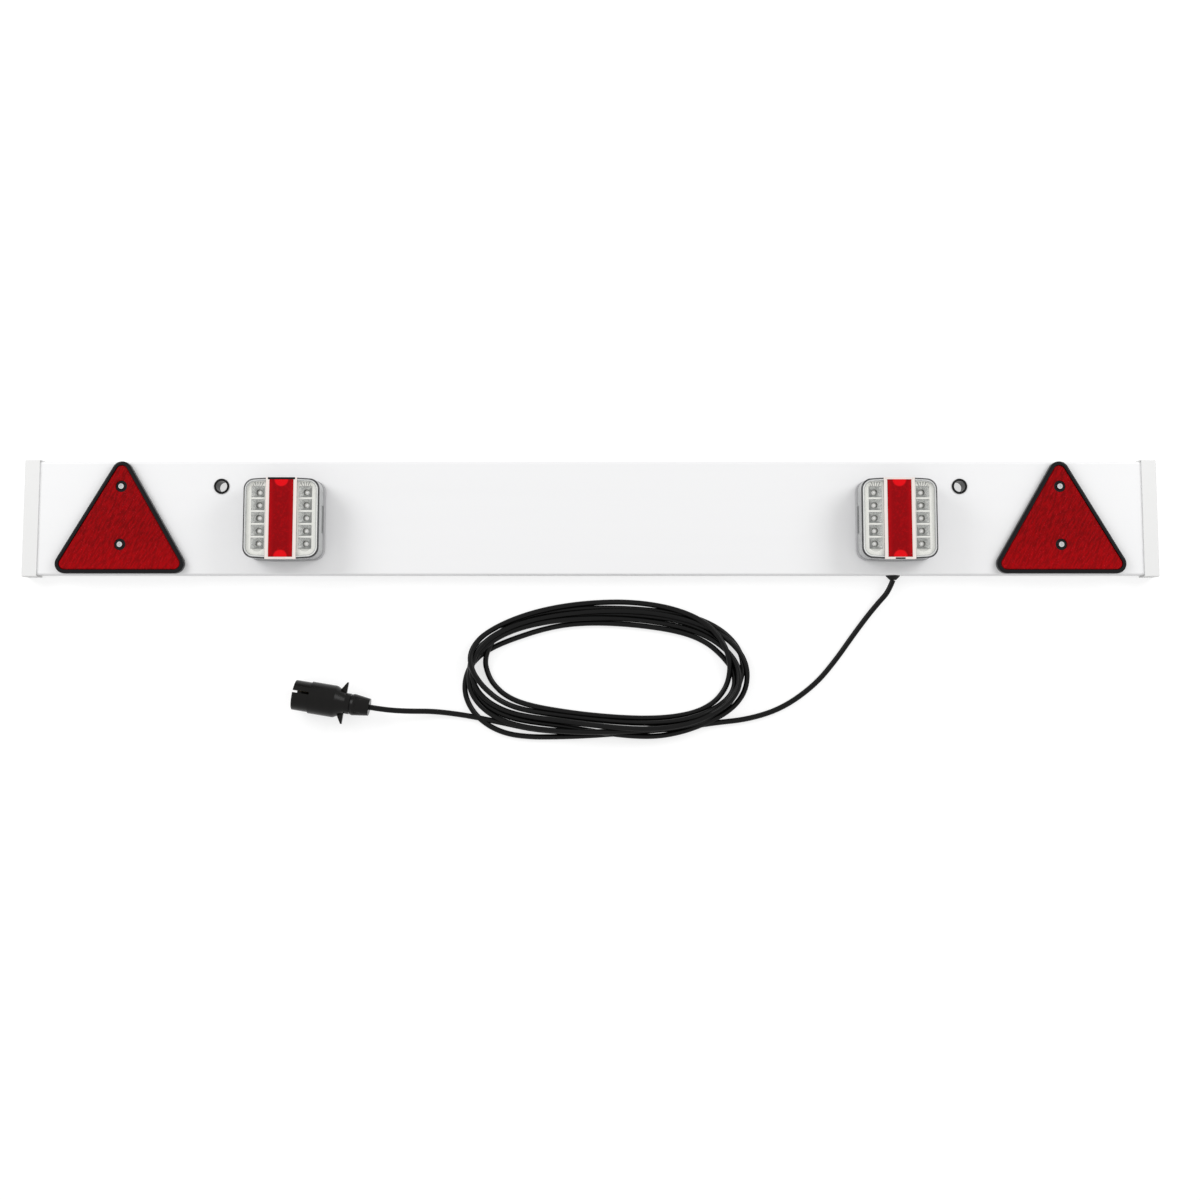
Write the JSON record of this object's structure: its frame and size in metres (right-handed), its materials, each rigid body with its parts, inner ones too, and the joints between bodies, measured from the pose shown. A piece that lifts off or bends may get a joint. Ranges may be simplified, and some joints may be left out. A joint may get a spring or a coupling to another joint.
{
  "type": "trailer lighting board",
  "caption": "Long white board with rear lamps, triangular red reflectors, strap holes, and a coiled cable that ends in a trailer plug.",
  "frame": {"origin": "under the middle of the board, on the plane of its back; the free cable and the plug, which lie on the same plane, are left out of the box that it is the middle of", "axes": "+X along the board, to the right for someone who looks at its lamps; +Y up the board's face; +Z out of the face, away from what the board is tied to"},
  "size_m": [1.37, 0.3381, 0.0627],
  "materials": {
    "board_plastic": "smooth white extruded PVC with a slight gloss",
    "cap_plastic": "satin white moulded plastic",
    "black_plastic": "black moulded plastic",
    "black_rubber": "soft black rubber",
    "cable_jacket": "satin black cable jacket",
    "plug_plastic": "charcoal moulded plastic",
    "contact_metal": "bright turned brass",
    "screw_metal": "zinc-plated steel",
    "red_lens": "clear red plastic with prisms behind its face",
    "lamp_grey": "light grey moulded plastic",
    "circuit_green": "green circuit board",
    "led_dome": "clear domes",
    "tray_cream": "cream moulded tray with bright cells",
    "clear_lens": "clear plastic",
    "strip_border": "pale plastic strip"
  },
  "bodies": {
    "root": {"board_profile": "board_plastic", "exit_grommet": "black_rubber", "junction_block": "black_plastic", "main_lead": "cable_jacket", "lamp_tail_lead": "cable_jacket", "link_lead": "cable_jacket", "cable_board_run": "cable_jacket", "cable_coil": "cable_jacket", "cable_plug_run": "cable_jacket", "plug_shell": "plug_plastic", "plug_insert": "plug_plastic", "plug_contacts": "contact_metal", "plug_nut": "plug_plastic", "plug_seal": "black_rubber", "plug_cable_end": "cable_jacket", "end_cap_left": "cap_plastic", "end_cap_right": "cap_plastic", "strap_sleeve_left": "black_plastic", "strap_sleeve_right": "black_plastic", "reflector_tray_left": "black_plastic", "reflector_tray_right": "black_plastic", "reflector_lens_left": "red_lens", "reflector_lens_right": "red_lens", "reflector_screws_left": "screw_metal", "reflector_screws_right": "screw_metal", "lamp_gasket_left": "black_rubber", "lamp_gasket_right": "black_rubber", "lamp_base_left": "lamp_grey", "lamp_base_right": "lamp_grey", "lamp_screws_left": "screw_metal", "lamp_screws_right": "screw_metal", "lamp_circuit_board_left": "circuit_green", "lamp_circuit_board_right": "circuit_green", "lamp_leds_left": "led_dome", "lamp_leds_right": "led_dome", "lamp_tray_left": "tray_cream", "lamp_tray_right": "tray_cream", "lamp_lens_left": "clear_lens", "lamp_lens_right": "clear_lens", "lamp_strip_frame_left": "strip_border", "lamp_strip_frame_right": "strip_border", "lamp_reflex_left": "red_lens", "lamp_reflex_right": "red_lens", "lamp_top_bar_left": "black_plastic", "lamp_top_bar_right": "strip_border", "lamp_vent_plug_left": "strip_border", "lamp_vent_plug_right": "black_plastic"}
  },
  "joints": []
}
